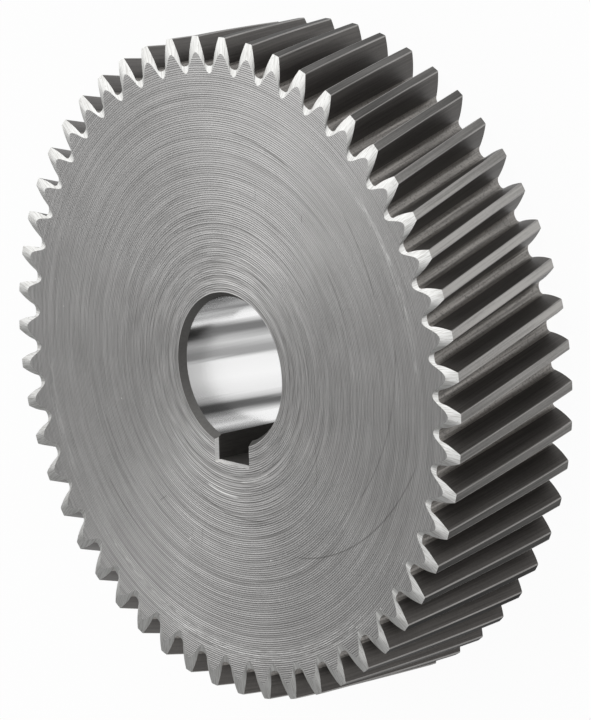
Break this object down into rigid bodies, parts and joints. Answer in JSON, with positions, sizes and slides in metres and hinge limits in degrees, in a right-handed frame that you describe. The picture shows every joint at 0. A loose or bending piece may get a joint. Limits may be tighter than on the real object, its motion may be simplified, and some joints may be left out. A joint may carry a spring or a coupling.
{
  "type": "gear wheel",
  "caption": "One-piece steel gear wheel with slanted teeth round its rim, a plain bore and a keyway, which turns with a keyed shaft and drives a meshing gear.",
  "frame": {"origin": "on the axis of the bore, at the back face, which the wheel lies on", "axes": "+Z along the bore from the back face to the front face; the keyway points along -Y, in line with the middle of a tooth on the front face"},
  "size_m": [0.1136, 0.1136, 0.026],
  "materials": {
    "steel": "bare steel, faces turned in fine rings, tooth ends brushed bright, flanks darker"
  },
  "bodies": {
    "root": {"gear_wheel": "steel"}
  },
  "joints": []
}
